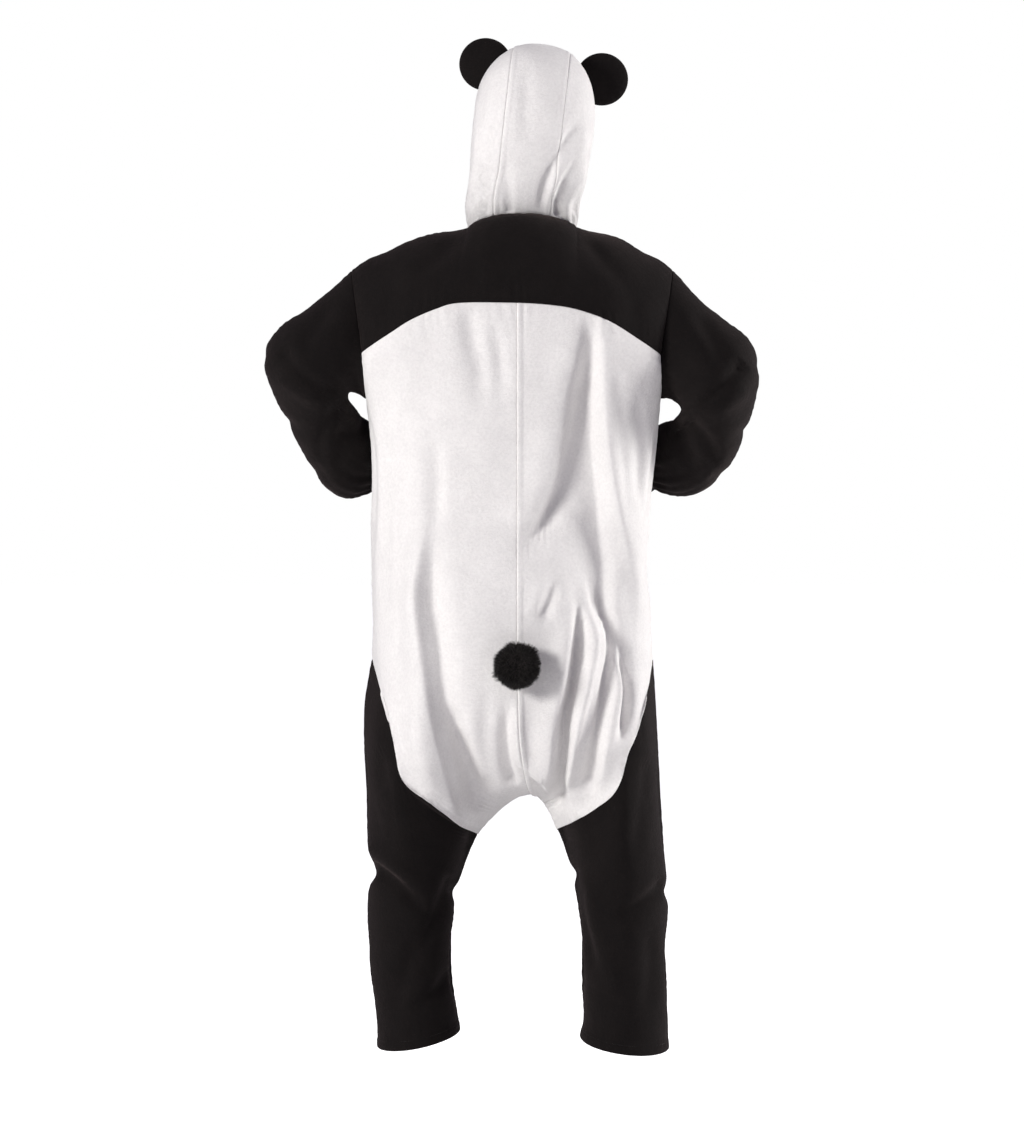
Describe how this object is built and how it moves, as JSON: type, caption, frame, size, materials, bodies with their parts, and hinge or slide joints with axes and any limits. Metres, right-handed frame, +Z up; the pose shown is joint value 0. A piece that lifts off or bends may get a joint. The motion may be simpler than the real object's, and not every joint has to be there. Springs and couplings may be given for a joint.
{
  "type": "panda costume",
  "caption": "Hooded one-piece fleece panda costume with round ears, black yoke, sleeves and legs, white body and a round plush tail, hollow and filled out as worn, hands on hips.",
  "frame": {"origin": "the middle of the shoulder line, in the neck opening, where a wearer's shoulders carry the costume", "axes": "+Z up, the front with the buttons faces -Y, the tail is towards +Y and the wearer's left is +X"},
  "size_m": [0.8346, 0.4382, 1.7037],
  "materials": {
    "white_fleece": "soft short pile",
    "black_fleece": "soft short pile",
    "black_rib": "ribbed knit",
    "black_plush": "long matte pile",
    "button_plastic": "satin"
  },
  "bodies": {
    "root": {"back_left": "white_fleece", "back_right": "white_fleece", "back_yoke": "black_fleece", "button_1": "button_plastic", "button_2": "button_plastic", "button_3": "button_plastic", "button_4": "button_plastic", "button_5": "button_plastic", "button_6": "button_plastic", "cuff_left": "black_rib", "cuff_right": "black_rib", "ear_left": "black_fleece", "ear_right": "black_fleece", "front_left": "white_fleece", "front_right": "white_fleece", "front_yoke_left": "black_fleece", "front_yoke_right": "black_fleece", "hood_gusset": "white_fleece", "hood_left": "white_fleece", "hood_right": "white_fleece", "leg_back_left": "black_fleece", "leg_back_right": "black_fleece", "leg_front_left": "black_fleece", "leg_front_right": "black_fleece", "placket_belly": "white_fleece", "placket_yoke": "black_fleece", "sleeve_back_left": "black_fleece", "sleeve_back_right": "black_fleece", "sleeve_front_left": "black_fleece", "sleeve_front_right": "black_fleece", "tail_pompom": "black_plush"}
  },
  "joints": []
}
